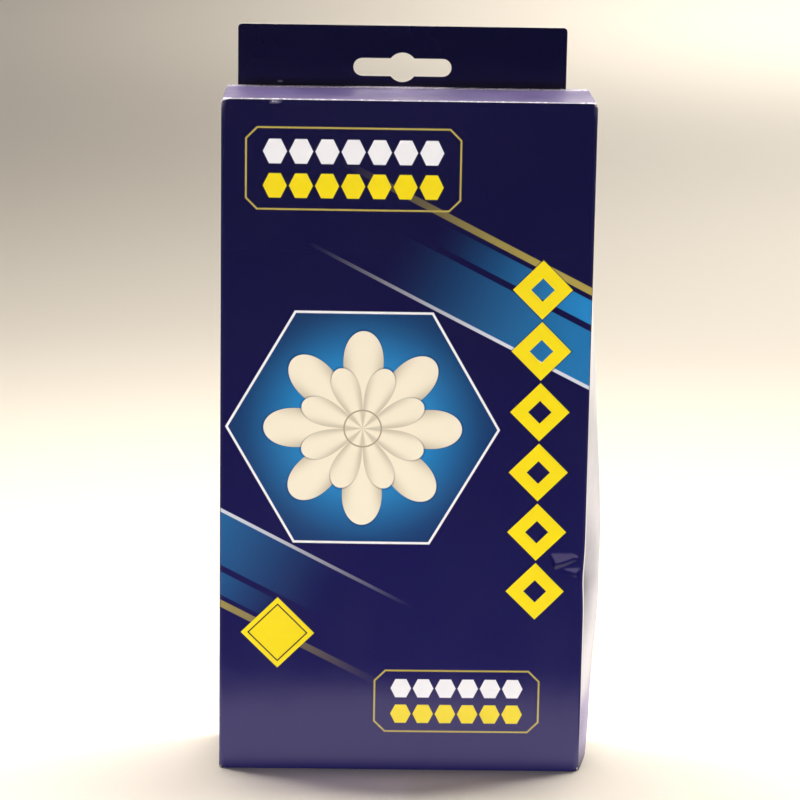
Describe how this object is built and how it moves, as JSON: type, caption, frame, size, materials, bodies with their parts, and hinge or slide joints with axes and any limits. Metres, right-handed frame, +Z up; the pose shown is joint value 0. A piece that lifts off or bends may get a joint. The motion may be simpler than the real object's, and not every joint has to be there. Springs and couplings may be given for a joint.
{
  "type": "retail carton with hang tab",
  "caption": "Tall slim folded paperboard retail carton with a hinged tuck lid, dust flaps, a glued base and a hang tab with a euro slot above the lid.",
  "frame": {"origin": "middle of the carton's footprint, on the surface it stands on", "axes": "+Z up towards the hang tab, -Y out of the front panel, +X to the right as seen from the front"},
  "size_m": [0.126, 0.037, 0.242],
  "materials": {
    "printed_board": "folding boxboard printed navy and gloss laminated outside, unprinted pale grey inside",
    "lid_board": "the same printed and gloss laminated board, plain navy",
    "inner_board": "bare matt grey-white inner face of the board"
  },
  "bodies": {
    "carton": {"front_panel": "printed_board", "right_side_panel": "printed_board", "left_side_panel": "printed_board", "back_panel": "printed_board", "hang_panel": "printed_board", "base_outer_flap": "printed_board", "base_inner_flap": "inner_board", "base_dust_flap_left": "inner_board", "base_dust_flap_right": "inner_board"},
    "lid": {"lid_panel": "lid_board"},
    "tuck": {"tuck_flap": "lid_board"},
    "left_dust_flap": {"dust_flap_left": "lid_board"},
    "right_dust_flap": {"dust_flap_right": "lid_board"}
  },
  "joints": [
    {"name": "lid_hinge", "type": "hinge", "parent": "carton", "child": "lid", "pos_m": [-0.00275, 0.01725, 0.2215], "axis": [-1, 0, 0], "range_deg": [0, 88]},
    {"name": "tuck_fold", "type": "hinge", "parent": "lid", "child": "tuck", "pos_m": [-0.00275, -0.01595, 0.2211], "axis": [1, 0, 0], "range_deg": [0, 80]},
    {"name": "left_dust_fold", "type": "hinge", "parent": "carton", "child": "left_dust_flap", "pos_m": [-0.06145, 0.002, 0.2207], "axis": [0, 1, 0], "range_deg": [0, 80]},
    {"name": "right_dust_fold", "type": "hinge", "parent": "carton", "child": "right_dust_flap", "pos_m": [0.05595, 0.002, 0.2207], "axis": [0, -1, 0], "range_deg": [0, 80]}
  ],
  "couplings": [
    {"joint": "tuck_fold", "follows": "lid_hinge", "ratio": 0.85}
  ]
}
